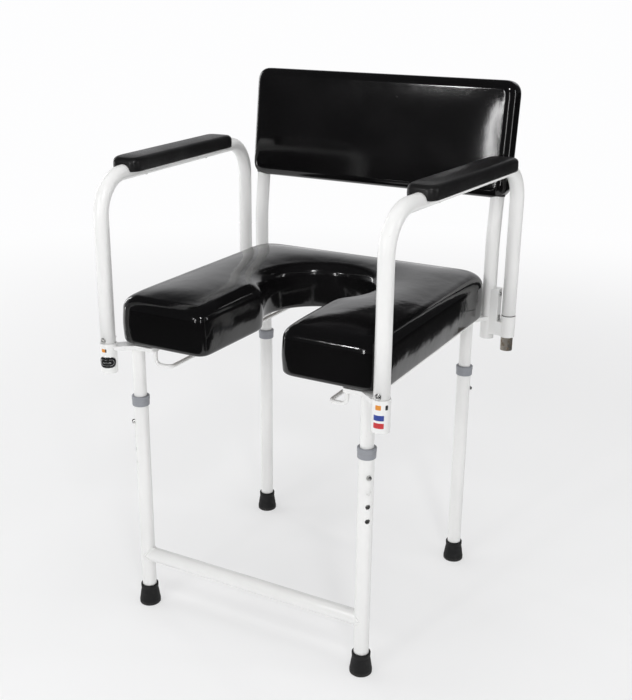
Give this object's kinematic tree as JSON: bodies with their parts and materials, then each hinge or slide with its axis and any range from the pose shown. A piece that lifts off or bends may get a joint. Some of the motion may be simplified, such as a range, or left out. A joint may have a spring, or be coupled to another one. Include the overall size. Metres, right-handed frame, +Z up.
{
  "type": "commode chair",
  "caption": "Height-adjustable commode chair with an open keyhole seat, padded back, lift-and-swing arms, pan rails and telescopic legs.",
  "frame": {"origin": "centre of the chair's bounding box, at floor level", "axes": "+X to the right as seen from the front, -Y is the front, +Z up"},
  "size_m": [0.6075, 0.5602, 0.9273],
  "materials": {
    "white_frame": "gloss powder coat",
    "black_skin": "gloss moulded urethane skin",
    "board": "plain plywood",
    "black_plastic": "matt",
    "grey_plastic": "satin moulded",
    "bush_plastic": "satin nylon",
    "bare_steel": "bare turned steel",
    "bright_steel": "zinc plated",
    "tip_rubber": "matt"
  },
  "bodies": {
    "frame": {"corner_plate_fl": "white_frame", "corner_plate_fr": "white_frame", "corner_plate_rl": "white_frame", "corner_plate_rr": "white_frame", "side_rail_left": "white_frame", "side_rail_right": "white_frame", "rear_rail": "white_frame", "arm_socket_left": "white_frame", "arm_socket_right": "white_frame", "upper_leg_fl": "white_frame", "upper_leg_fr": "white_frame", "upper_leg_rl": "white_frame", "upper_leg_rr": "white_frame", "pan_rail_left": "white_frame", "pan_rail_right": "white_frame", "seat_board": "board", "seat_cushion": "black_skin", "seat_screws": "bright_steel", "back_post_left": "white_frame", "back_post_right": "white_frame", "arm_bracket_left": "white_frame", "arm_bracket_right": "white_frame", "rear_socket_left": "white_frame", "rear_socket_right": "white_frame", "bracket_bolts": "bright_steel", "back_panel": "black_plastic", "back_cushion": "black_skin", "back_screws": "bright_steel", "post_collars": "black_plastic", "snap_springs": "bright_steel"},
    "pivot_left": {"pivot_bush_left": "bush_plastic"},
    "pivot_right": {"pivot_bush_right": "bush_plastic"},
    "arm_left": {"arm_tube_left": "white_frame", "pivot_pin_left": "bare_steel", "arm_pad_left": "black_skin", "pad_screws_left": "bright_steel", "cross_bolt_left": "bright_steel"},
    "arm_right": {"arm_tube_right": "white_frame", "pivot_pin_right": "bare_steel", "arm_pad_right": "black_skin", "pad_screws_right": "bright_steel", "cross_bolt_right": "bright_steel"},
    "front_legs": {"lower_leg_fl": "white_frame", "lower_leg_fr": "white_frame", "crossbar": "white_frame", "collar_fl": "grey_plastic", "collar_fr": "grey_plastic", "tip_fl": "tip_rubber", "tip_fr": "tip_rubber"},
    "rear_left_leg": {"lower_leg_rl": "white_frame", "collar_rl": "grey_plastic", "tip_rl": "tip_rubber"},
    "rear_right_leg": {"lower_leg_rr": "white_frame", "collar_rr": "grey_plastic", "tip_rr": "tip_rubber"},
    "button_front_left": {"button_fl": "bright_steel"},
    "button_front_right": {"button_fr": "bright_steel"},
    "button_rear_left": {"button_rl": "bright_steel"},
    "button_rear_right": {"button_rr": "bright_steel"}
  },
  "joints": [
    {"name": "swing_left", "type": "hinge", "parent": "frame", "child": "pivot_left", "pos_m": [-0.2845, 0.22325, 0.49], "axis": [0, 0, -1], "range_deg": [0, 180]},
    {"name": "lift_left", "type": "slide", "parent": "pivot_left", "child": "arm_left", "axis": [0, 0, 1], "range_m": [0, 0.045]},
    {"name": "swing_right", "type": "hinge", "parent": "frame", "child": "pivot_right", "pos_m": [0.2845, 0.22325, 0.49], "axis": [0, 0, 1], "range_deg": [0, 180]},
    {"name": "lift_right", "type": "slide", "parent": "pivot_right", "child": "arm_right", "axis": [0, 0, 1], "range_m": [0, 0.045]},
    {"name": "adjust_front", "type": "slide", "parent": "frame", "child": "front_legs", "axis": [0, 0, 1], "range_m": [0, 0.0762], "deforming": ["snap_springs", "button_fl", "button_fr"]},
    {"name": "adjust_rear_left", "type": "slide", "parent": "frame", "child": "rear_left_leg", "axis": [0, 0, 1], "range_m": [0, 0.0762], "deforming": ["snap_springs", "button_rl"]},
    {"name": "adjust_rear_right", "type": "slide", "parent": "frame", "child": "rear_right_leg", "axis": [0, 0, 1], "range_m": [0, 0.0762], "deforming": ["snap_springs", "button_rr"]},
    {"name": "press_front_left", "type": "slide", "parent": "frame", "child": "button_front_left", "axis": [0.7071, 0.7071, 0], "range_m": [0, 0.0062], "stiffness_N_per_m": 1500, "springref_m": -0.002, "deforming": ["snap_springs"]},
    {"name": "press_front_right", "type": "slide", "parent": "frame", "child": "button_front_right", "axis": [-0.7071, 0.7071, 0], "range_m": [0, 0.0062], "stiffness_N_per_m": 1500, "springref_m": -0.002, "deforming": ["snap_springs"]},
    {"name": "press_rear_left", "type": "slide", "parent": "frame", "child": "button_rear_left", "axis": [0.7071, -0.7071, 0], "range_m": [0, 0.0062], "stiffness_N_per_m": 1500, "springref_m": -0.002, "deforming": ["snap_springs"]},
    {"name": "press_rear_right", "type": "slide", "parent": "frame", "child": "button_rear_right", "axis": [-0.7071, -0.7071, 0], "range_m": [0, 0.0062], "stiffness_N_per_m": 1500, "springref_m": -0.002, "deforming": ["snap_springs"]}
  ]
}
